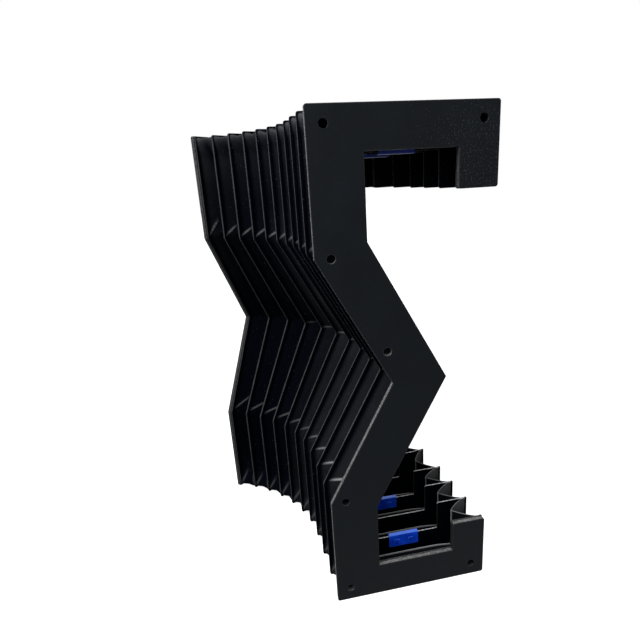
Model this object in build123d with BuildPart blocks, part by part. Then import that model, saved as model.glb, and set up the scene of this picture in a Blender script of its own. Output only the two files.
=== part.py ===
"""Bellows way cover with a sigma-shaped profile, fanned out sideways at its far end.

A folded cloth runs from a front plate to a rear plate. A thin frame stands in each
outer ridge of the cloth, and every second frame carries a plastic guide on the inner
edge of its top bar and of its bottom bar. The cover is open on the right, where the
machine's beam passes between the two lips.

X runs along the bars to the right, Y from the front plate to the back, Z up. The
origin is the middle of the front plate's corner holes, on its front face.
"""

import os
from math import atan2, cos, radians, sin, sqrt, tan

from build123d import *

# Profile, shared by the plates, the frames and the cloth
plate_height = 400.0
plate_width = 136.0
bar_height = 30.0
lip_width = 30.0
lip_length = 58.0
column_width = 38.5
knee_drop = 100.0  # from an end of the plate to the knee of its column
waist_depth = 54.5  # how far the column leans in at mid-height

# Plates
plate_thickness = 4.0
plate_corner_radius = 2.0
plate_edge_chamfer = 0.4

# Screw holes
screw_hole_diameter = 6.6
screw_inset = 12.0
waist_screw_height = 26.5  # above mid-height
waist_screw_inset = 9.5  # from the sloping edge

# Frames
frame_thickness = 1.2
frame_corner_cut = 1.0
frame_clearance = 0.3  # between a frame and the cloth around its edge

# Cloth
cloth_setback = 0.5  # from the plates' outline
cloth_band = 1.2  # thickness of the cloth, measured in the plane of a frame
valley_margin = 4.0  # from the deepest valley to the inner edge of a bar

# Folds, from front to back: straight ones, one that starts to turn, and the fan.
# A pitch is measured at the column's outer edge, and a lean is to the left of square.
straight_folds = 3
fan_folds = 6
straight_pitch = 27.0
fan_pitch = 19.5
first_turn = 6.0
fan_turn = 8.0
straight_lean = 4.5
fan_lean = 10.0

# Guides
guide_length = 28.0
guide_wall = 1.5
guide_grip = 10.5  # how far it reaches over the bar
guide_crown = 1.8  # how far it stands out of the bar's inner edge
guide_crown_radius = 0.8
guide_slot_clearance = 0.1  # on each side of the frame

# Raised pads, two on each broad side of a guide
pad_spacing = 13.0
pad_depth = 5.5  # from the bar's inner edge to the pads' middle
pad_width = 4.5
pad_length = 5.0
pad_height = 0.4

half_height = plate_height / 2
half_width = plate_width / 2
column_slope = atan2(waist_depth, half_height - knee_drop)
panel_width = bar_height - valley_margin
frame_setback = cloth_setback + cloth_band + frame_clearance
hem_half = frame_thickness / 2 + frame_clearance


def outer_edge(left, right):
    """Profile's outer edge set in by left at the column and by right at the lips."""
    waist = left + (right - left) * waist_depth / plate_width
    upper_half = [
        (half_width - right, half_height - lip_length),
        (half_width - right, half_height - right),
        (left - half_width, half_height - left),
        (left - half_width, half_height - knee_drop + left * tan(column_slope / 2)),
        (waist_depth - half_width + waist / cos(column_slope), 0),
    ]
    return with_lower_half(upper_half)


def inner_edge():
    """Profile's inner edge, from the upper lip to the lower one."""
    column = column_width - half_width
    upper_half = [
        (half_width - lip_width, half_height - lip_length),
        (half_width - lip_width, half_height - bar_height),
        (column, half_height - bar_height),
        (column, half_height - knee_drop + column_width * tan(column_slope / 2)),
        (waist_depth - half_width + column_width / cos(column_slope), 0),
    ]
    return with_lower_half(upper_half)


def with_lower_half(upper_half):
    """Points of an edge that is the same above and below mid-height."""
    return upper_half + [(x, -y) for x, y in reversed(upper_half[:-1])]


def draw_between(outer, inner):
    """Face between two edges, in the sketch that calls it."""
    with BuildLine() as outline:
        Polyline(*outer, *reversed(inner), close=True)
    make_face(outline.edges())


def tips(sketch):
    """Corners at the ends of the bars and lips, without those of the inner edge."""
    lip_end = half_height - lip_length
    low = half_height - frame_setback
    return sketch.vertices().filter_by(
        lambda corner: abs(corner.Y) > low - 1e-6 or abs(abs(corner.Y) - lip_end) < 1e-6
    )


def screw_places():
    """Places of the screw holes in the plates and the end frames."""
    left = screw_inset - half_width
    right = half_width - screw_inset
    top = half_height - screw_inset
    knee = half_height - knee_drop
    waist = (knee - waist_screw_height) * tan(column_slope)
    waist += waist_screw_inset / cos(column_slope)
    corners = [(left, top), (right, top), (left, -top), (right, -top)]
    return corners + [(left, knee), (left, -knee), (waist - half_width, waist_screw_height)]


def place_frame(left, turned):
    """Plane of a frame: X along its bars, Y up, Z to the front."""
    angle = radians(turned)
    along = Vector(cos(angle), sin(angle), 0)
    return Plane(left + along * half_width, x_dir=along, z_dir=(sin(angle), -cos(angle), 0))


def place_frames():
    """Planes of the end frames and of the frames between them, from front to back."""
    turning_pitch = (straight_pitch + fan_pitch) / 2
    turning_lean = (straight_lean + fan_lean) / 2
    folds = [(straight_pitch, 0.0, straight_lean)] * straight_folds
    folds += [(turning_pitch, first_turn, turning_lean)]
    folds += [(fan_pitch, fan_turn, fan_lean)] * fan_folds

    left = Vector(-half_width, plate_thickness + frame_thickness / 2, 0)
    turned = 0.0
    planes = [place_frame(left, turned)]
    for pitch, turn, lean in folds:
        heading = radians(turned + turn / 2 + lean)
        left += Vector(-sin(heading), cos(heading), 0) * pitch
        turned += turn
        planes.append(place_frame(left, turned))
    return planes


def make_plate(front_face):
    """End plate, with its front on the given plane."""
    with BuildPart() as plate:
        with BuildSketch(front_face) as outline:
            draw_between(outer_edge(0, 0), inner_edge())
            fillet(tips(outline), plate_corner_radius)
            with Locations(*screw_places()):
                Circle(screw_hole_diameter / 2, mode=Mode.SUBTRACT)
        extrude(amount=-plate_thickness)
        broad_faces = plate.faces().sort_by(SortBy.AREA)[-2:]
        rims = [face.outer_wire().edges() for face in broad_faces]
        chamfer(rims[0] + rims[1], plate_edge_chamfer)
    return plate.part


def make_frame(middle, with_screw_holes):
    """Thin frame about its middle plane."""
    with BuildPart() as frame:
        with BuildSketch(middle) as outline:
            draw_between(outer_edge(frame_setback, frame_setback), inner_edge())
            chamfer(tips(outline), frame_corner_cut)
            if with_screw_holes:
                with Locations(*screw_places()):
                    Circle(screw_hole_diameter / 2, mode=Mode.SUBTRACT)
        extrude(amount=frame_thickness / 2, both=True)
    return frame.part


def valley_depth(gap):
    """How far a valley goes in, between ridges that stand the given gap apart."""
    return sqrt(panel_width**2 - (gap / 2) ** 2)


def cloth_edges(plane, left, right):
    """Outer and inner edge of the cloth's section in a plane."""
    outer = outer_edge(cloth_setback + left, cloth_setback + right)
    inner_left = cloth_setback + cloth_band + left
    inner_right = cloth_setback + cloth_band + right
    inner = outer_edge(inner_left, inner_right)
    return [[plane.from_local_coords(point) for point in edge] for edge in (outer, inner)]


def fold_between(near_edge, far_edge):
    """Flat three-sided faces between two edges, the same above and below mid-height."""
    corners = []
    middle = len(near_edge) // 2
    for first in range(len(near_edge) - 1):
        a, b = near_edge[first : first + 2]
        d, c = far_edge[first : first + 2]
        if first < middle:
            corners += [(a, b, c), (a, c, d)]
        else:
            corners += [(a, b, d), (b, c, d)]
    return [Face(Wire.make_polygon(points)) for points in corners]


def make_cloth(frames):
    """Folded cloth, one sheet from the front end frame to the rear one."""
    to_plate = frame_thickness / 2 - frame_clearance
    sections = [cloth_edges(frames[0].offset(to_plate), 0, 0)]
    for front, back in zip(frames, frames[1:]):
        near = front.offset(-hem_half)
        far = back.offset(hem_half)
        valley = Plane(
            (near.origin + far.origin) / 2,
            x_dir=near.x_dir + far.x_dir,
            z_dir=near.z_dir + far.z_dir,
        )
        gaps = [
            (near.from_local_coords((x, 0)) - far.from_local_coords((x, 0))).length
            for x in (-half_width, half_width)
        ]
        sections.append(cloth_edges(near, 0, 0))
        sections.append(cloth_edges(valley, valley_depth(gaps[0]), valley_depth(gaps[1])))
        sections.append(cloth_edges(far, 0, 0))
    sections.append(cloth_edges(frames[-1].offset(-to_plate), 0, 0))

    faces = []
    for (near_outer, near_inner), (far_outer, far_inner) in zip(sections, sections[1:]):
        faces += fold_between(near_outer, far_outer)
        faces += fold_between(near_inner, far_inner)
        for end in (0, -1):
            faces += fold_between(
                [near_outer[end], near_inner[end]], [far_outer[end], far_inner[end]]
            )
    for outer, inner in (sections[0], sections[-1]):
        faces.append(Face(Wire.make_polygon(outer + inner[::-1])))
    with BuildPart() as cloth:
        add(Solid(Shell(faces)))
    return cloth.part


def guide_middle():
    """Middle of the bars' inner edge, where the guides sit."""
    return (column_width - lip_width) / 2


def make_guide(frame, bar):
    """Guide clipped over the inner edge of a frame's top or bottom bar."""
    side = 1 if bar == "top" else -1
    start = guide_middle() - guide_length / 2
    edge = side * (half_height - bar_height)
    section = Plane(frame.from_local_coords((start, edge)), frame.z_dir * side, frame.x_dir)
    slot_width = frame_thickness + 2 * guide_slot_clearance
    half_depth = slot_width / 2 + guide_wall
    pad_places = [
        (guide_middle() + offset, edge + side * pad_depth)
        for offset in (-pad_spacing / 2, pad_spacing / 2)
    ]
    with BuildPart() as guide:
        with BuildSketch(section) as profile:
            with Locations((0, -guide_grip)):
                Rectangle(
                    2 * half_depth, guide_grip + guide_crown, align=(Align.CENTER, Align.MIN)
                )
            fillet(profile.vertices().group_by(Axis.Y)[-1], guide_crown_radius)
            with Locations((0, -guide_grip)):
                Rectangle(
                    slot_width, guide_grip, align=(Align.CENTER, Align.MIN), mode=Mode.SUBTRACT
                )
        extrude(amount=guide_length)
        for pad_plane in (frame.offset(half_depth), frame.offset(-half_depth - pad_height)):
            with BuildSketch(pad_plane):
                with Locations(*pad_places):
                    Rectangle(pad_width, pad_length)
            extrude(amount=pad_height)
    return guide.part


def write(piece, name):
    """Labels a piece and writes its STEP file."""
    piece.label = name
    export_step(piece, f"parts/{name}.step")


os.makedirs("parts", exist_ok=True)

frame_planes = place_frames()
last = len(frame_planes) - 1

write(make_plate(Plane.XZ), "front_plate")
write(make_frame(frame_planes[0], True), "front_end_frame")
write(make_frame(frame_planes[last], True), "rear_end_frame")
write(make_plate(frame_planes[last].offset(-frame_thickness / 2)), "rear_plate")
write(make_cloth(frame_planes), "bellows_cloth")

for number in range(1, last):
    write(make_frame(frame_planes[number], False), f"frame_{number}")

for number in range(1, last, 2):
    for bar_name in ("top", "bottom"):
        write(make_guide(frame_planes[number], bar_name), f"{bar_name}_guide_{number}")
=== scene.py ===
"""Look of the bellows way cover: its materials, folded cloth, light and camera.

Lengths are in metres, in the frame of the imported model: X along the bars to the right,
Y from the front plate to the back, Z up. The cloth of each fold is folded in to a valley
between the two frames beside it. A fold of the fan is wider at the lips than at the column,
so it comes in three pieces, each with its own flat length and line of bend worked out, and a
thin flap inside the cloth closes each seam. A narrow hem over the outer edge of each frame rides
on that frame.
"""

from math import atan2, cos, pi, radians, sin, tan

import bpy
import numpy as np
from mathutils import Matrix, Vector


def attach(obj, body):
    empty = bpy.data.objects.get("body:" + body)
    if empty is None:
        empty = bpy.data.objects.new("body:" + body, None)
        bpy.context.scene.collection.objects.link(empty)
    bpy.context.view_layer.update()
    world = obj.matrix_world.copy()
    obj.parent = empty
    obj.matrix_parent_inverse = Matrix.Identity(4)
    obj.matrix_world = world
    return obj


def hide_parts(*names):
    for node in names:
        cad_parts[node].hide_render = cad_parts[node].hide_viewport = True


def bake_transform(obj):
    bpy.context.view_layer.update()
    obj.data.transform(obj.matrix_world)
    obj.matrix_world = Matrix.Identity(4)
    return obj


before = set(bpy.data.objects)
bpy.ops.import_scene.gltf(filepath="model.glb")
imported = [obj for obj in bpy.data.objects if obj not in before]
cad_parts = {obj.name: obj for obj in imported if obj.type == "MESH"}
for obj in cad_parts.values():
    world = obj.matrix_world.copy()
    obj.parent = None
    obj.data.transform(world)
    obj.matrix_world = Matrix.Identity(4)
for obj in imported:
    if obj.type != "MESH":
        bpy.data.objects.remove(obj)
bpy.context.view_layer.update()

mm = 0.001
random = np.random.default_rng(11)

# Profile, plates and frames, as in the CAD model
half_height = 200 * mm
half_width = 68 * mm
lip_length = 58 * mm
knee_height = 100 * mm  # above and below mid-height
waist_depth = 54.5 * mm
column_slope = atan2(waist_depth, knee_height)
plate_thickness = 4 * mm
frame_thickness = 1.2 * mm
screw_inset = 12 * mm
waist_screw_height = 26.5 * mm
waist_screw_inset = 9.5 * mm

# Folds, from front to back: pitch at the column's outer edge, turn, and lean to the left
straight_folds = 3
straight_fold = (27 * mm, 0.0, 4.5)
turning_fold = (23.25 * mm, 6.0, 7.25)
fan_fold = (19.5 * mm, 8.0, 10.0)
folds = [straight_fold] * straight_folds + [turning_fold] + [fan_fold] * 6
last_frame = len(folds)

# Cloth
cloth_thickness = 0.24 * mm
cloth_offset = 0.76 * mm  # from a frame's middle plane to the cloth beside it
cloth_reach = 1.3 * mm  # from the plates' outline to a fold's edge, under the hem
valley_reach = 0.5 * mm  # from the plates' outline to where a valley's depth starts
panel_width = 26 * mm
held_width = 4.5 * mm  # how much of a panel lies on its frame
least_held = 0.5 * mm
least_free = 14 * mm  # how much of a shallow panel doesn't
bow_height = 0.5 * mm
flare_height = 0.5 * mm  # what a free end bows more
wrinkle_height = 0.35 * mm
tuck_depth = 0.9 * mm
tuck_width = 0.75 * mm
foot_tuck_width = 1.6 * mm

# Parts of a fold of the fan, with places along its bars
split_along = -8 * mm  # where it is split
column_bend = -45 * mm  # where the bend of its column is measured
lip_bend = 45 * mm  # and the bend of its lips
flap_share = 0.3  # thickness of the flap in a seam, as a share of the cloth's

# Flat lengths along the profile: of a whole fold, and of the parts of a split one
whole_length = 0.80
column_length = 0.54
lip_part_length = 0.13

# Hems
hem_reach = 0.5 * mm  # from the plates' outline to a hem's outer edge
hem_depth = 2.2 * mm
hem_half = 1.15 * mm
hem_half_at_plate = 0.3 * mm
hem_wall = 0.25 * mm
hem_radius = 0.75 * mm
hem_wave_height = 0.07 * mm

# Rows of a panel's mesh, as shares of its width from the ridge to the valley
panel_rows = [0, 0.05, 0.1, 0.17, 0.25, 0.33, 0.41, 0.49, 0.57, 0.65, 0.73, 0.81]
panel_rows = np.array(panel_rows + [0.88, 0.94, 0.98, 1.0])

# Columns of the mesh: its steps in mm beside the first and the last corner of each side
# of the profile, which is the same above and below mid-height
upper_steps = [(0.9, 2.0), (2.2, 1.2), (1.6, 1.1), (1.1, 1.1)]
column_steps = upper_steps + [steps[::-1] for steps in reversed(upper_steps)]
fine_zone = 14 * mm  # how far the fine steps go from a corner
coarse_step = 3.2  # beyond it, as a multiple
least_step = 0.3 * mm

# What some folds have other than the rest, by the fold's number
upper_tuck_rises = {9: 9 * mm, 10: 15 * mm}
lower_tuck_rises = {10: 7 * mm}
lower_tuck_highlights = {1: 0.9, 2: 0.7, 3: 0.5, 4: 0.36}
# Painted shade inward on the upper cloth of the rearmost folds
inward_shades = {9: 0.8, 10: 2.0}  # how much darker the upper cloth gets inward

# Painted highlight on the cloth's creases, ridges, valleys and free ends, from 0 to 1
upper_tuck_highlight = 0.3
lower_tuck_highlight = 0.24
waist_tuck_highlight = 0.3
foot_tuck_highlight = 0.11
column_top_highlight = 0.05
valley_highlight = 0.95
free_end_highlight = 0.7
low_end_highlight = 0.17
hem_highlight = 0.17
hem_highlight_step = 0.008  # less on each hem than on the one before it

# Painted light and shade on the cloth, from 0 to 1
lips_and_bars_light = 0.1
low_end_light = 0.6
hem_light = 0.02

# Finishes of the plates and the frames. Few specks of dust pass a high limit
plate_finish = {
    "base": (0.0058, 0.0072, 0.0090),
    "gloss": 0.05,
    "grain": 1.2 * mm,
    "speck_limit": 0.705,
}
frame_finish = {
    "base": (0.0006, 0.0011, 0.0022),
    "gloss": 0.015,
    "grain": 0.8 * mm,
    "speck_limit": 0.78,
}
# How pale the sawn edges are, partly as painted light. The frames between the ends, deep inside
# the cover, get much paler ones as painted light
sawn_and_lit_edge_greys = {
    "front_plate": 0.15,
    "rear_plate": 0.045,
    "front_end_frame": 0.05,
    "rear_end_frame": 0.05,
}
# Painted light on the sawn edges of the inner frames
inner_lit_edge_grey = 0.8
# Painted light and shade on each screw hole's wall, as a share of the edge colour, in the order of
# screw_places
bore_wall_light = [0.1, 0.1, 0.4, 0.05, 0.7, 0.03, 1.0]

# Colours
# Dust specks, and painted glints near the sheets' upper right corners
dust_and_glint_grey = (0.055, 0.056, 0.058, 1)
# Painted highlight on the sheets' edges
edge_highlight_grey = (0.085, 0.088, 0.09, 1)
deep_blue = (0.002, 0.035, 0.50, 1)
bright_blue = (0.006, 0.075, 0.78, 1)
# Painted highlight on the blue mouldings' edges
highlight_blue = (0.10, 0.34, 1.0, 1)
# Painted highlight on the lower mouldings' upward faces
lit_top_blue = (0.08, 0.26, 1.0, 1)
shaded_blue = (0.002, 0.006, 0.03, 1)
cloth_black = (0.0001, 0.0005, 0.0020, 1)
# Painted light on the cloth's panels
lit_cloth_grey = (0.036, 0.040, 0.043, 1)
lint_grey = (0.04, 0.041, 0.043, 1)
# Painted highlight on the cloth's creases, ridges and edges
highlight_grey = (0.40, 0.405, 0.41, 1)
white = (1, 1, 1, 1)


def make_camera():
    """Camera at the photograph's place, with its lens and off-centre framing."""
    place = (-0.112166, -0.330745, 0.154745)
    forward = Vector((0.1770, 0.9385, -0.2964)).normalized()
    upward = Vector((0.1090, 0.2806, 0.9536))
    data = bpy.data.cameras.new("camera")
    data.sensor_width = 36
    data.lens = 27.206
    data.shift_x = -0.0370
    data.shift_y = 0.0102
    data.clip_start = 0.01
    camera = bpy.data.objects.new("camera", data)
    bpy.context.scene.collection.objects.link(camera)
    right = forward.cross(upward).normalized()
    up = right.cross(forward)
    turned = Matrix((right, up, -forward)).transposed().to_4x4()
    camera.matrix_world = Matrix.Translation(place) @ turned
    bpy.context.scene.camera = camera


def grey(brightness):
    """Colour with no hue."""
    return (brightness, brightness, brightness, 1)


def scaled(base, factor):
    """Colour with the given red, green and blue, times a factor."""
    return [factor * value for value in base] + [1.0]


class Graph:
    """Nodes of a material or of the world."""

    def __init__(self, tree):
        self.tree = tree
        tree.nodes.clear()

    def add(self, kind, sockets=None, **settings):
        """New node. A socket is given a value or the socket that feeds it."""
        node = self.tree.nodes.new("ShaderNode" + kind)
        for name, value in settings.items():
            setattr(node, name, value)
        for name, value in (sockets or {}).items():
            if isinstance(value, bpy.types.NodeSocket):
                self.tree.links.new(value, node.inputs[name])
            else:
                node.inputs[name].default_value = value
        return node

    def math(self, operation, first, second=0.0):
        sockets = {0: first, 1: second}
        return self.add("Math", sockets, operation=operation).outputs[0]

    def multiply(self, first, second):
        return self.math("MULTIPLY", first, second)

    def remap(self, value, low, high, to_low=0.0, to_high=1.0):
        """Value from low..high brought to to_low..to_high, and held there beyond."""
        sockets = {
            "Value": value,
            "From Min": low,
            "From Max": high,
            "To Min": to_low,
            "To Max": to_high,
        }
        return self.add("MapRange", sockets).outputs["Result"]

    def mix(self, share, first, second):
        """Colour between two colours."""
        sockets = {0: share, 6: first, 7: second}
        return self.add("Mix", sockets, data_type="RGBA").outputs[2]

    def noise(self, vector, size, detail=2.0, roughness=0.5):
        """Noise with patches of about the given size, in metres."""
        sockets = {
            "Vector": vector,
            "Scale": 1 / size,
            "Detail": detail,
            "Roughness": roughness,
        }
        return self.add("TexNoise", sockets).outputs[0]

    def bump(self, height, distance, strength):
        sockets = {"Height": height, "Distance": distance, "Strength": strength}
        return self.add("Bump", sockets).outputs["Normal"]

    def dot(self, first, second):
        sockets = {0: first, 1: second}
        return self.add("VectorMath", sockets, operation="DOT_PRODUCT").outputs["Value"]

    def distance(self, first, second):
        sockets = {0: first, 1: second}
        return self.add("VectorMath", sockets, operation="DISTANCE").outputs["Value"]

    def component(self, vector, axis):
        """X, Y or Z of a vector."""
        return self.add("SeparateXYZ", {"Vector": vector}).outputs[axis]

    def attribute(self, name):
        """Values that the mesh carries under a name."""
        return self.add("Attribute", attribute_name=name).outputs["Fac"]

    def edge_share(self, radius, low, high):
        """Share that is 1 on an edge and 0 away from it."""
        rounded = self.add("Bevel", {"Radius": radius}, samples=6).outputs["Normal"]
        straight = self.add("NewGeometry").outputs["Normal"]
        return self.remap(self.dot(rounded, straight), high, low)

    def finish(self, shader):
        self.add("OutputMaterial", {"Surface": shader.outputs[0]})


def new_material(name):
    material = bpy.data.materials.new(name)
    material.use_nodes = True
    return material, Graph(material.node_tree)


def outside_bores(graph, place, bores):
    """Share that is 1 outside the screw holes, and a hole's painted light and shade on its wall.
    """
    outside = 1.0
    for bore, wall_light in zip(bores, bore_wall_light):
        away = graph.distance(place, tuple(bore))
        share = graph.remap(away, 5 * mm, 7 * mm, wall_light, 1.0)
        outside = graph.multiply(share, outside)
    return outside


def lip_edge_shade(graph, place, outward, section):
    """Share of painted shade on the inner edges of a sheet's lips, more on the lower lip, and 0 on
    its other edges.
    """
    lip_start = float(np.dot(section.middle, section.along)) + 20 * mm
    along = graph.dot(place, tuple(section.along))
    at_lip = graph.remap(along, lip_start, lip_start + 5 * mm)
    upright = graph.math("ABSOLUTE", graph.dot(outward, tuple(section.along)))
    edge = graph.multiply(at_lip, graph.remap(upright, 0.6, 0.8))
    upper_share, lower_share = 0.75, 0.94
    height = graph.component(place, "Z")
    share = graph.remap(height, 20 * mm, -20 * mm, upper_share, lower_share)
    return graph.multiply(edge, share)


def sheet_plastic(name, section, edge_grey, bores, base, gloss, grain, speck_limit):
    """Black textured sheet in a section's plane, with pale sawn edges and painted light and shade.
    """
    material, graph = new_material(name)
    coordinates = graph.add("TexCoord")
    place = coordinates.outputs["Object"]
    outward = coordinates.outputs["Normal"]
    patches = graph.noise(place, size=34 * mm, detail=4.0, roughness=0.6)
    fine = graph.noise(place, size=1.6 * mm, detail=3.0, roughness=0.6)
    darker = scaled(base, 0.80)
    lighter = scaled(base, 1.25)
    colour = graph.mix(graph.remap(patches, 0.35, 0.68), darker, lighter)

    # Dust specks, with more of them near the upper right corner as painted glints of sheen
    glinting_corner = tuple(section.points([50 * mm, 165 * mm]))
    away = graph.distance(place, glinting_corner)
    glinting_limit = speck_limit - 0.14
    limit = graph.remap(away, 20 * mm, 75 * mm, glinting_limit, speck_limit)
    above_limit = graph.math("SUBTRACT", graph.noise(place, size=1.3 * mm), limit)
    speck = graph.remap(graph.multiply(above_limit, 9.0), 0.0, 1.0, 0.0, 0.45)
    colour = graph.mix(speck, colour, dust_and_glint_grey)

    # Streaked sawn edges, with painted shade in the bores and on the inner edges of the lips
    outside = outside_bores(graph, place, bores)
    facing = graph.math("ABSOLUTE", graph.dot(outward, tuple(section.front)))
    sawn = graph.multiply(graph.remap(facing, 0.55, 0.35), outside)
    off_lips = graph.math("SUBTRACT", 1.0, lip_edge_shade(graph, place, outward, section))
    streaks = graph.noise(place, size=1.3 * mm, detail=3.0, roughness=0.75)
    streaks = graph.remap(streaks, 0.40, 0.62)
    streaked = graph.mix(streaks, grey(0.25 * edge_grey), grey(edge_grey))
    colour = graph.mix(graph.multiply(sawn, off_lips), colour, streaked)

    # Painted highlight on the edges, less in the bores
    wear = graph.edge_share(radius=0.7 * mm, low=0.80, high=0.99)
    highlighted = graph.multiply(wear, graph.remap(fine, 0.35, 0.65, 0.25, 0.8))
    colour = graph.mix(graph.multiply(highlighted, outside), colour, edge_highlight_grey)

    pebbles = graph.add("TexVoronoi", {"Vector": place, "Scale": 1 / grain}).outputs["Distance"]
    uneven = graph.math("ADD", pebbles, fine)
    shader = graph.add(
        "BsdfPrincipled",
        {
            "Base Color": colour,
            "Roughness": graph.remap(patches, 0.3, 0.7, 0.58, 0.74),
            "Specular IOR Level": gloss,
            "Normal": graph.bump(uneven, distance=0.10 * mm, strength=0.55),
        },
    )
    graph.finish(shader)
    return material


def moulded_plastic(name):
    """Glossy blue moulding, with flow marks and painted highlights on its edges.

    The lower mouldings have a painted highlight on their upward faces, and the upper ones painted
    shade.
    """
    material, graph = new_material(name)
    coordinates = graph.add("TexCoord")
    place = coordinates.outputs["Object"]
    flow = graph.noise(place, size=9 * mm, detail=3.0, roughness=0.55)
    fine = graph.noise(place, size=0.8 * mm)
    colour = graph.mix(graph.remap(flow, 0.35, 0.68), deep_blue, bright_blue)
    # Painted highlight on the edges
    wear = graph.edge_share(radius=0.5 * mm, low=0.80, high=0.99)
    highlighted = graph.multiply(wear, graph.remap(fine, 0.3, 0.7, 0.2, 0.6))
    colour = graph.mix(highlighted, colour, highlight_blue)

    # Painted highlight on the lower mouldings' upward faces, and painted shade on the upper ones
    low = graph.remap(graph.component(place, "Z"), 50 * mm, -50 * mm)
    upward = graph.component(coordinates.outputs["Normal"], "Z")
    lit_top = graph.multiply(graph.remap(upward, 0.2, 0.9, 0.0, 0.6), low)
    colour = graph.mix(lit_top, colour, lit_top_blue)
    colour = graph.mix(graph.remap(low, 0.0, 1.0, 0.7, 0.0), colour, shaded_blue)
    shader = graph.add(
        "BsdfPrincipled",
        {
            "Base Color": colour,
            "Roughness": graph.remap(flow, 0.3, 0.7, 0.26, 0.4),
            "Specular IOR Level": 0.2,
            "Normal": graph.bump(fine, distance=0.03 * mm, strength=0.5),
        },
    )
    graph.finish(shader)
    return material


def coated_cloth(name):
    """Black coated cloth: fine weave, soft wrinkles, lint, painted highlights and painted shade.

    The mesh carries lengths along and across the cloth as its UV map, the painted highlight
    at each place as one attribute, and its painted light and shade as another.
    """
    material, graph = new_material(name)
    coordinates = graph.add("TexCoord")
    place = coordinates.outputs["Object"]
    lengths = coordinates.outputs["UV"]
    thread = 2 * pi / (1.1 * mm)
    warp = graph.math("SINE", graph.multiply(graph.component(lengths, "X"), thread))
    weft = graph.math("SINE", graph.multiply(graph.component(lengths, "Y"), thread))
    wrinkles = graph.noise(place, size=7 * mm, detail=3.0, roughness=0.6)
    wrinkles = graph.multiply(wrinkles, 9.0)
    height = graph.math("ADD", wrinkles, graph.multiply(warp, weft))

    patches = graph.noise(place, size=26 * mm, detail=4.0, roughness=0.6)
    fine = graph.noise(place, size=1.1 * mm, detail=3.0, roughness=0.65)
    uneven = graph.remap(patches, 0.35, 0.7, 0.85, 1.2)
    # Painted light and shade over the panels
    painted_light = graph.multiply(graph.attribute("painted_light"), uneven)
    colour = graph.mix(painted_light, cloth_black, lit_cloth_grey)
    lint = graph.noise(place, size=1.7 * mm, detail=1.0)
    colour = graph.mix(graph.remap(lint, 0.72, 0.78, 0.0, 0.5), colour, lint_grey)
    # Painted highlight on creases, ridges, valleys and free ends
    highlighted = graph.multiply(graph.attribute("wear"), graph.remap(fine, 0.3, 0.65, 0.5, 1.0))
    colour = graph.mix(highlighted, colour, highlight_grey)
    shader = graph.add(
        "BsdfPrincipled",
        {
            "Base Color": colour,
            "Roughness": graph.remap(patches, 0.3, 0.7, 0.42, 0.6),
            "Specular IOR Level": 0.0,
            "Sheen Weight": 0.003,
            "Sheen Roughness": 0.4,
            "Normal": graph.bump(height, distance=0.045 * mm, strength=0.6),
        },
    )
    graph.finish(shader)
    return material


def outer_edge(left, right):
    """Corners of the profile's outer edge, set in by left at the column, right at the lips."""
    waist = left + (right - left) * waist_depth / (2 * half_width)
    upper_half = [
        (half_width - right, half_height - lip_length),
        (half_width - right, half_height - right),
        (left - half_width, half_height - left),
        (left - half_width, knee_height + left * tan(column_slope / 2)),
        (waist_depth - half_width + waist / cos(column_slope), 0),
    ]
    return np.array(upper_half + [(x, -z) for x, z in reversed(upper_half[:-1])])


def screw_places():
    """Places of the screw holes, as in the CAD model."""
    left = screw_inset - half_width
    right = -left
    top = half_height - screw_inset
    waist = (knee_height - waist_screw_height) * tan(column_slope) - half_width
    waist += waist_screw_inset / cos(column_slope)
    corners = [(left, top), (right, top), (left, -top), (right, -top)]
    return corners + [(left, knee_height), (left, -knee_height), (waist, waist_screw_height)]


class Section:
    """Plane across the bellows: its middle, and the directions along its bars and to its front."""

    def __init__(self, middle, turned):
        self.turned = turned
        self.along = np.array([cos(turned), sin(turned), 0.0])
        self.front = np.array([sin(turned), -cos(turned), 0.0])
        self.middle = middle

    def moved(self, forward):
        return Section(self.middle + self.front * forward, self.turned)

    def points(self, flat):
        """Places in space of points given along the bars and up."""
        flat = np.asarray(flat)
        up = np.array([0.0, 0.0, 1.0])
        return self.middle + flat[..., :1] * self.along + flat[..., 1:] * up


def section_from(left, turned):
    """Section turned by an angle in degrees, from the outer edge of its column."""
    angle = radians(turned)
    along = np.array([cos(angle), sin(angle), 0.0])
    return Section(left + along * half_width, angle)


def place_frames():
    """Sections of the frames at rest, from front to back."""
    left = np.array([-half_width, plate_thickness + frame_thickness / 2, 0.0])
    turned = 0.0
    sections = [section_from(left, turned)]
    for pitch, turn, lean in folds:
        heading = radians(turned + turn / 2 + lean)
        left = left + pitch * np.array([-sin(heading), cos(heading), 0.0])
        turned += turn
        sections.append(section_from(left, turned))
    return sections


def column_places():
    """Where the cloth's mesh has its columns: sides of the profile, and shares of them."""
    corners = outer_edge(0, 0)
    places = []
    for side, steps in enumerate(column_steps):
        length = np.linalg.norm(corners[side + 1] - corners[side])
        from_first = [0.0]
        from_last = [0.0]
        while from_first[-1] + from_last[-1] < length:
            at_first = from_first[-1] <= from_last[-1]
            shorter = from_first if at_first else from_last
            step = (steps[0] if at_first else steps[1]) * mm
            shorter.append(shorter[-1] + step * (1 if shorter[-1] < fine_zone else coarse_step))
        values = sorted(from_first[:-1] + [length - value for value in from_last[:-1]])
        places += [(side, value / length) for value in values if value < length - least_step]
    places.append((len(column_steps) - 1, 1.0))
    return places


def along_edge(corners, places):
    """Points on an edge at the given places."""
    sides = np.array([side for side, share in places])
    shares = np.array([share for side, share in places])[:, None]
    return corners[sides] * (1 - shares) + corners[sides + 1] * shares


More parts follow.
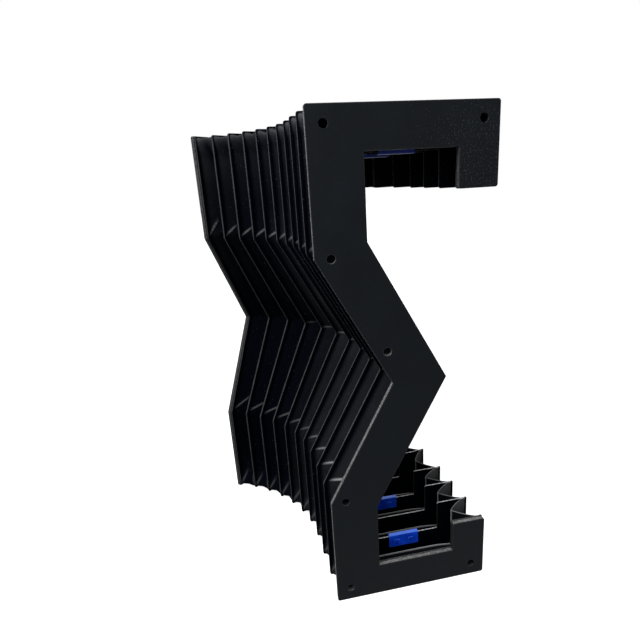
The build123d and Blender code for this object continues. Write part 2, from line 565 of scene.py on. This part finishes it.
def soften(points, times):
    """Rounds corners of rows of points a little, with both ends kept."""
    for _ in range(times):
        points = points.copy()
        middle = (points[..., :-2, :] + points[..., 2:, :]) / 2
        points[..., 1:-1, :] = (points[..., 1:-1, :] + middle) / 2
    return points


def arc_lengths(points):
    """Length of a line of points up to each of them."""
    steps = np.linalg.norm(np.diff(points, axis=0), axis=1)
    return np.concatenate([[0.0], np.cumsum(steps)])


def bell(distance, width):
    """1 at no distance, and nearly 0 at twice the width."""
    return np.exp(-((distance / width) ** 2))


def ripples(along, across, shortest, longest, count):
    """Smooth unevenness between about -1 and 1."""
    total = np.zeros(np.broadcast(along, across).shape)
    for _ in range(count):
        turn = random.uniform(0, 2 * pi)
        wave = 2 * pi / random.uniform(shortest, longest)
        shift = random.uniform(0, 2 * pi)
        total = total + np.sin(wave * (cos(turn) * along + sin(turn) * across) + shift)
    return total / count


def add_piece(name, grid, lengths, wear, painted_light, material, closed=False):
    """Mesh over rows of points. Closed joins the last row to the first and caps the ends."""
    rows, columns = grid.shape[:2]
    index = np.arange(rows * columns).reshape(rows, columns)
    if closed:
        index = np.vstack([index, index[:1]])
    quads = [index[:-1, :-1], index[:-1, 1:], index[1:, 1:], index[1:, :-1]]
    faces = np.stack(quads, axis=-1).reshape(-1, 4).tolist()
    if closed:
        faces.append(index[:-1, 0].tolist())
        faces.append(index[:-1, -1][::-1].tolist())
    mesh = bpy.data.meshes.new(name)
    mesh.from_pydata(grid.reshape(-1, 3).tolist(), [], faces)
    mesh.validate()
    corners = np.zeros(len(mesh.loops), dtype=np.int32)
    mesh.loops.foreach_get("vertex_index", corners)
    uv = mesh.uv_layers.new(name="UVMap")
    uv.data.foreach_set("uv", lengths.reshape(-1, 2)[corners].ravel().astype(np.float32))
    for label, values in (("wear", wear), ("painted_light", painted_light)):
        attribute = mesh.attributes.new(label, "FLOAT", "POINT")
        attribute.data.foreach_set("value", values.ravel().astype(np.float32))
    mesh.materials.append(material)
    mesh.polygons.foreach_set("use_smooth", np.ones(len(mesh.polygons), dtype=bool))
    if closed:
        mesh.set_sharp_from_angle(angle=radians(50))
    mesh.update()
    piece = bpy.data.objects.new(name, mesh)
    bpy.context.scene.collection.objects.link(piece)
    return piece


def crease(along, across, start, end, width):
    """Share of a crease at each place: 1 on its line, tapered to its ends."""
    start = np.array(start)
    run = np.array(end) - start
    length = np.hypot(*run)
    along_line = ((along - start[0]) * run[0] + (across - start[1]) * run[1]) / length
    beside = ((along - start[0]) * run[1] - (across - start[1]) * run[0]) / length
    inside = np.clip(along_line / length, 0, 1)
    beyond = along_line - inside * length
    taper = np.sqrt(np.clip(4 * inside * (1 - inside), 0.15, 1))
    return taper * np.exp(-(beside**2 + beyond**2) / width**2)


def panel(ridge, valley, front):
    """Rows of points from a ridge to a valley. The first millimetres lie on the frame."""
    straight = valley - ridge
    level = straight - (straight @ front)[:, None] * front
    depth = np.linalg.norm(level, axis=1, keepdims=True)
    held = np.clip(depth - least_free, least_held, held_width)
    bend = ridge + level / depth * held
    share = panel_rows[:, None, None]
    at_bend = held / panel_width
    on_frame = ridge + level / depth * share * panel_width
    beyond = bend + (share - at_bend) / (1 - at_bend) * (valley - bend)
    softness = 0.05 / 3
    blend = 1 / (1 + np.exp(-(share - at_bend) / softness))
    return on_frame * (1 - blend) + beyond * blend


def split_fold(number, places):
    """Parts of a fold: name, flat length, columns of the mesh, thin columns, place of the bend.

    The thin column of a lip's part lies inside the cloth of the part beside it, where it
    closes the seam when the fold opens.
    """
    name = f"cloth_fold_{number}"
    last = len(places) - 1
    if number <= straight_folds:
        return [(name, whole_length, range(last + 1), (), 0.0)]
    top_bar, bottom_bar = 1, 6
    split = (half_width - split_along) / (2 * half_width)
    upper = next(i for i, place in enumerate(places) if place >= (top_bar, split))
    lower = next(i for i, place in enumerate(places) if place >= (bottom_bar, 1 - split))
    upper_lip = range(upper + 2), (upper + 1,)
    lower_lip = range(lower - 1, last + 1), (lower - 1,)
    return [
        (name, column_length, range(upper, lower + 1), (), column_bend),
        (f"{name}_upper_lip", lip_part_length, *upper_lip, lip_bend),
        (f"{name}_lower_lip", lip_part_length, *lower_lip, lip_bend),
    ]


class Fold:
    """Cloth of one fold at rest: from a frame in to the valley, and out to the next frame.

    The rows of its grid run along the profile, from the near ridge to the far one, and
    its columns across the cloth.
    """

    def __init__(self, number, near_frame, far_frame, places):
        self.number = number
        self.places = places
        self.near = near_frame.moved(-cloth_offset)
        self.far = far_frame.moved(cloth_offset)
        bisecting = (self.near.turned + self.far.turned) / 2
        self.valley = Section((self.near.middle + self.far.middle) / 2, bisecting)

        ridge_line, valley_line = self.lines()
        valley_edge = self.valley.points(valley_line)
        near_part = panel(self.near.points(ridge_line), valley_edge, self.near.front)
        far_part = panel(self.far.points(ridge_line), valley_edge, self.far.front)
        self.grid = np.concatenate([near_part, far_part[::-1][1:]])
        shares = np.concatenate([panel_rows, panel_rows[::-1][1:]])
        self.from_ridge = shares[:, None] * panel_width
        self.on_far = (np.arange(len(self.grid)) >= len(panel_rows))[:, None]
        self.height = self.grid[..., 2]

        self.arc = arc_lengths(ridge_line)
        self.free_end = np.minimum(self.arc, self.arc[-1] - self.arc)
        starts = [arc for arc, place in zip(self.arc, places) if place[1] == 0.0]
        self.corners = np.array(starts[1:])
        self.column_top = self.corners[1]
        self.column_foot = self.corners[5]
        below_top = self.arc > self.column_top - 2 * mm
        self.on_column = below_top & (self.arc < self.column_foot + 2 * mm)

    def valley_depths(self):
        """How far the valley goes in, at the column and at the lips."""
        depths = []
        for along in (-half_width, half_width):
            gap = np.linalg.norm(self.near.points([along, 0.0]) - self.far.points([along, 0.0]))
            depths.append((panel_width**2 - (gap / 2) ** 2) ** 0.5)
        return depths

    def lines(self):
        """Flat lines of the ridges and of the valley, whose corners are pushed out."""
        at_column, at_lips = self.valley_depths()
        lip_shift = 3 * mm
        column_shift = np.interp(self.number, [1, 4, 7, 10], [24, 26, 30, 32]) * mm
        ridge = outer_edge(cloth_reach, cloth_reach)
        inward = outer_edge(valley_reach + at_column, valley_reach + at_lips)
        ridge_line = soften(along_edge(ridge, self.places), times=3)
        valley_line = soften(along_edge(inward, self.places), times=3)
        shifts = {1: lip_shift, 2: column_shift, 6: column_shift, 7: lip_shift}
        for corner, shift in shifts.items():
            to_ridge = ridge[corner] - inward[corner]
            to_ridge = to_ridge / np.linalg.norm(to_ridge)
            away = np.linalg.norm(valley_line - inward[corner], axis=1)
            shifted = shift * np.exp(-((away / (10 * mm)) ** 1.8))
            valley_line = valley_line + shifted[:, None] * to_ridge
        return ridge_line, valley_line

    def bow(self):
        """How far the panels bow towards their frames, less beside a corner, with wrinkles."""
        to_corner = np.min(np.abs(self.arc[:, None] - self.corners[None, :]), axis=1)
        bow = bow_height * (1 - 0.75 * bell(to_corner, 11 * mm))
        bow = bow + flare_height * bell(self.free_end, 16 * mm)
        arc = self.arc[None, :]
        wrinkles = ripples(arc, self.from_ridge, shortest=18 * mm, longest=60 * mm, count=7)
        beyond_frame = (self.from_ridge - held_width) / (panel_width - held_width)
        belly = np.sin(pi * np.clip(beyond_frame, 0, 1))
        return (bow[None, :] + wrinkle_height * wrinkles) * belly

    def tucks(self):
        """Share of a tuck at each place, and its painted highlight.

        Tucks run inward from the knees, from the waist and from the column's foot. Their
        starts and ends are heights, or lengths along the profile at the foot, and
        distances in from the ridge.
        """
        upper_rise = upper_tuck_rises.get(self.number, random.uniform(6, 8) * mm)
        lower_rise = lower_tuck_rises.get(self.number, random.uniform(3.5, 5) * mm)
        waist_end = (random.uniform(-0.5, 0.5) * mm, 11 * mm)
        foot_rise = random.uniform(9, 12) * mm
        foot_end = (self.column_foot - foot_rise, random.uniform(13, 16) * mm)
        upper_start = (knee_height + 2.5 * mm, 2 * mm)
        lower_start = (2 * mm - knee_height, 4 * mm)
        upper_end = (upper_start[0] + upper_rise, 13 * mm)
        lower_end = (lower_start[0] + lower_rise, 20 * mm)
        waist_start = (0.4 * mm, 0.5 * mm)
        lower_highlight = lower_tuck_highlights.get(self.number, lower_tuck_highlight)
        waist_highlight = waist_tuck_highlight * np.clip((8 - self.number) / 3, 0, 1)
        tucks = [
            (upper_start, upper_end, upper_tuck_highlight),
            (lower_start, lower_end, lower_highlight),
            (waist_start, waist_end, waist_highlight),
        ]
        share = np.zeros(self.grid.shape[:2])
        wear = np.zeros(self.grid.shape[:2])
        for start, end, shine in tucks:
            amount = crease(self.height, self.from_ridge, start, end, tuck_width)
            amount = amount * self.on_column
            share = share + amount
            wear = wear + amount * shine
        foot_start = (self.column_foot - 3 * mm, 3 * mm)
        arc = self.arc[None, :]
        amount = crease(arc, self.from_ridge, foot_start, foot_end, foot_tuck_width)
        return share + amount, wear + amount * foot_tuck_highlight

    def low_end(self):
        """Share that is 1 on the far panel at the free end of the lower lip."""
        return bell(self.arc[-1] - self.arc, 20 * mm)[None, :] * self.on_far

    def wear(self, on_tucks):
        """Painted highlight at each place: tucks, column's top, valley, free ends and low end."""
        at_top = column_top_highlight * bell(self.arc - self.column_top, 3.5 * mm)
        wear = np.clip(on_tucks + at_top[None, :], 0, 1)
        to_top = np.abs(self.arc - self.column_top)
        to_foot = np.abs(self.arc - self.column_foot)
        clear = np.clip(np.minimum(to_top, to_foot) / (12 * mm) - 1, 0.0, 1)
        at_valley = valley_highlight * bell(panel_width - self.from_ridge, 0.6 * mm)
        wear = np.maximum(wear, at_valley * clear[None, :])
        wear = np.maximum(wear, free_end_highlight * bell(self.free_end, 0.5 * mm)[None, :])
        return np.maximum(wear, low_end_highlight * self.low_end())

    def light_and_shade(self):
        """Painted light and shade: lighter on front folds, darkest low on rear ones and beside
        ridges.
        """
        front_light = 1 / (1 + np.exp(2.2 * (self.number - 5.7)))
        near_front = np.clip((6 - self.number) / 5, 0, 1)
        heights = [-20 * mm, 40 * mm, 135 * mm, 175 * mm]
        levels = [
            0.027 + 0.20 * front_light,
            0.055 + 0.54 * front_light,
            0.055 + 0.22 * near_front,
            0.105 + 0.19 * near_front,
        ]
        painted_light = np.interp(self.height, heights, levels)
        inward = inward_shades.get(self.number, 0.0) * np.clip(self.height / (60 * mm), 0, 1)
        darker = 1 + inward * (1.1 - 1.6 * self.from_ridge / panel_width)
        painted_light = painted_light * np.maximum(darker, 0.3)
        painted_light = np.where(self.on_column, painted_light, lips_and_bars_light)
        # Painted light at the lower lip's free end
        painted_light = painted_light + low_end_light * self.low_end()
        # Painted shade beside the ridge
        return painted_light * np.clip((self.from_ridge - 2 * mm) / (4 * mm), 0.08, 1)

    def push(self, offset):
        """Moves each place off its panel, towards the frame beside it."""
        across = np.gradient(self.grid, axis=0)
        sideways = np.gradient(self.grid, axis=1)
        normal = np.cross(sideways, across)
        normal = normal / np.linalg.norm(normal, axis=2, keepdims=True)
        facing_front = (normal @ self.valley.front)[..., None] > 0
        normal = np.where(facing_front, normal, -normal)
        to_frame = np.where(self.on_far, -1.0, 1.0)
        self.grid = self.grid + normal * (offset * to_frame)[..., None]

    def bending_line(self, along):
        """Start and end of the fold's bend, at a place along the bars."""
        near_point = self.near.points([along, 0.0])
        far_point = self.far.points([along, 0.0])
        middle = (near_point + far_point) / 2
        front = self.valley.front
        half_gap = np.dot(near_point - far_point, front) / 2
        return tuple(middle + front * half_gap), tuple(middle - front * half_gap)

    def make(self, material):
        """Pieces of the fold, each with its flat length and the start and end of its bend."""
        bow = self.bow()
        tucks, on_tucks = self.tucks()
        wear = self.wear(on_tucks)
        painted_light = self.light_and_shade()
        self.push(bow - tuck_depth * tucks)
        lengths = np.empty(self.grid.shape[:2] + (2,))
        lengths[..., 0] = self.arc[None, :]
        lengths[..., 1] = np.where(self.on_far, 2 * panel_width - self.from_ridge, self.from_ridge)

        pieces = []
        for name, length, columns, thin, along in split_fold(self.number, self.places):
            part = list(columns)
            parts = [values[:, part] for values in (self.grid, lengths, wear, painted_light)]
            piece = add_piece(name, *parts, material)
            solid = piece.modifiers.new("thickness", "SOLIDIFY")
            solid.thickness = cloth_thickness
            solid.offset = 0
            if thin:
                rows = np.arange(len(self.grid))[:, None] * len(part)
                whole = [place for place, column in enumerate(part) if column not in thin]
                group = piece.vertex_groups.new(name="whole")
                group.add((rows + np.array(whole)).ravel().tolist(), 1.0, "REPLACE")
                solid.vertex_group = group.name
                solid.thickness_vertex_group = flap_share
            pieces.append((piece, length, *self.bending_line(along)))
        return pieces


def hem_outline(number):
    """Corners of a hem's section: depth from its outer edge, and place to the front.

    It is rounded, except on the side where an end frame lies against its plate.
    """
    low = -hem_half if number < last_frame else -hem_half_at_plate
    high = hem_half if number > 0 else hem_half_at_plate
    turns = [pi / 8 * step for step in range(5)]
    outline = [(hem_depth, low)]
    if number < last_frame:
        for turn in turns:
            rise = hem_radius * (1 - cos(turn))
            outline.append((hem_radius * (1 - sin(turn)), low + rise))
    else:
        outline.append((0, low))
    if number > 0:
        for turn in turns:
            fall = hem_radius * (1 - sin(turn))
            outline.append((hem_radius * (1 - cos(turn)), high - fall))
    else:
        outline.append((0, high))
    outline += [(hem_depth, high), (hem_depth, high - hem_wall), (hem_wall, high - hem_wall)]
    return outline + [(hem_wall, low + hem_wall), (hem_depth, low + hem_wall)]


def make_hem(number, section, places, material):
    """Cloth folded over the outer edge of a frame."""
    outline = hem_outline(number)
    rows = []
    for depth, forward in outline:
        edge = outer_edge(hem_reach + depth, hem_reach + depth)
        line = soften(along_edge(edge, places), times=2)
        rows.append(section.moved(forward).points(line))
    grid = np.array(rows)
    arc = arc_lengths(grid[1])
    waves = ripples(arc, 0.0, shortest=9 * mm, longest=50 * mm, count=8)
    grid = grid + (hem_wave_height * waves)[None, :, None] * section.front
    lengths = np.empty(grid.shape[:2] + (2,))
    lengths[..., 0] = arc[None, :]
    lengths[..., 1] = np.arange(len(outline))[:, None] * 0.4 * mm

    depths = np.array([depth for depth, forward in outline])
    # Painted highlight along the hem's outer edge, a little less on each hem further back
    wear = (hem_highlight - hem_highlight_step * number) * bell(depths, 0.16 * mm)[:, None]
    uneven = ripples(arc, 0.0, shortest=6 * mm, longest=30 * mm, count=6)
    wear = np.clip(wear * (0.8 + 0.3 * uneven)[None, :], 0, 1)
    painted_light = np.full(wear.shape, hem_light)
    name = f"cloth_hem_{number}"
    return add_piece(name, grid, lengths, wear, painted_light, material, closed=True)


def frame_number(name):
    """Number of the frame that a CAD node belongs to, from front to back."""
    if name.startswith("front"):
        return 0
    if name.startswith("rear"):
        return last_frame
    return int(name.split("_")[-1])


def dress_cad_nodes(sections):
    """Materials of the plates, frames and guides."""
    blue = moulded_plastic("blue_moulding")
    for name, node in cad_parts.items():
        if name == "bellows_cloth":
            continue
        if "guide" in name:
            material = blue
        else:
            number = frame_number(name)
            section = sections[number]
            bores = section.points(screw_places()) if number in (0, last_frame) else ()
            finish = plate_finish if name.endswith("plate") else frame_finish
            edge_grey = sawn_and_lit_edge_greys.get(name, inner_lit_edge_grey)
            material = sheet_plastic(f"{name}_sheet", section, edge_grey, bores, **finish)
        node.data.materials.clear()
        node.data.materials.append(material)


def in_a_row(first, between, last):
    """Names from front to back, with a number on each name between the ends."""
    return [first] + [f"{between}_{number}" for number in range(1, last_frame)] + [last]


def dress_cloth(sections):
    """Folds and hems in place of the CAD cloth."""
    material = coated_cloth("black_coated_cloth")
    places = column_places()
    bodies = in_a_row("front_end", "carrier", "rear_end")
    for number, section in enumerate(sections):
        hem = make_hem(number, section, places, material)
        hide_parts("bellows_cloth")
        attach(hem, bodies[number])
    for number in range(1, last_frame + 1):
        fold = Fold(number, sections[number - 1], sections[number], places)
        for piece, length, start, end in fold.make(material):
            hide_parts("bellows_cloth")
            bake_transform(piece)


def seen_directly(graph):
    """Share of a ray that looks at something: straight, in a reflection or through glass."""
    path = graph.add("LightPath")
    seen = graph.math("MAXIMUM", path.outputs["Is Camera Ray"], path.outputs["Is Glossy Ray"])
    return graph.math("MAXIMUM", seen, path.outputs["Is Transmission Ray"])


def make_floor():
    """Pale floor under the cover, which shows white and keeps a soft shadow."""
    size = 6.0
    base = -half_height
    corners = [(-size, -size, base), (size, -size, base), (size, size, base), (-size, size, base)]
    mesh = bpy.data.meshes.new("floor")
    mesh.from_pydata(corners, [], [(0, 1, 2, 3)])
    floor = bpy.data.objects.new("floor", mesh)
    bpy.context.scene.collection.objects.link(floor)
    material, graph = new_material("pale_floor")
    matte = graph.add("BsdfDiffuse", {"Color": grey(0.16)})
    pale = graph.add("BsdfDiffuse", {"Color": grey(0.4)})
    shining = graph.add("Emission", {"Color": white, "Strength": 0.9})
    bright = graph.add("AddShader", {0: pale.outputs[0], 1: shining.outputs[0]})
    mixed = graph.add(
        "MixShader", {0: seen_directly(graph), 1: matte.outputs[0], 2: bright.outputs[0]}
    )
    graph.finish(mixed)
    mesh.materials.append(material)


def add_light(name, kind, energy, source, **settings):
    """Light of a kind, which comes from the given direction."""
    data = bpy.data.lights.new(name, kind)
    data.energy = energy
    for setting, value in settings.items():
        setattr(data, setting, value)
    light = bpy.data.objects.new(name, data)
    bpy.context.scene.collection.objects.link(light)
    light.rotation_mode = "QUATERNION"
    light.rotation_quaternion = Vector(source).to_track_quat("Z", "Y")
    return light


def make_light():
    """Even white surroundings, a soft box above the left side, and weak light all round."""
    world = bpy.data.worlds.new("studio")
    world.use_nodes = True
    bpy.context.scene.world = world
    graph = Graph(world.node_tree)
    ambient = graph.add("Background", {"Color": white, "Strength": 0.22})
    backdrop = graph.add("Background", {"Color": white, "Strength": 1.0})
    mixed = graph.add(
        "MixShader", {0: seen_directly(graph), 1: ambient.outputs[0], 2: backdrop.outputs[0]}
    )
    graph.add("OutputWorld", {"Surface": mixed.outputs[0]})

    box_place = Vector((-0.36, -0.08, 0.52))
    box_target = Vector((-0.05, 0.06, 0.0))
    box = add_light("left_box", "AREA", 6.5, box_place - box_target, size=0.25)
    box.location = box_place
    add_light("overhead", "SUN", 2.0, (-0.15, -0.40, 0.90), angle=radians(40))
    add_light("front_fill", "SUN", 0.5, (-0.45, -0.85, 0.25), angle=radians(60))
    add_light("back_fill", "SUN", 1.2, (0.45, 0.75, 0.50), angle=radians(60))


make_camera()
bpy.context.scene.view_settings.view_transform = "Standard"
frame_sections = place_frames()
dress_cad_nodes(frame_sections)
dress_cloth(frame_sections)
make_floor()
make_light()
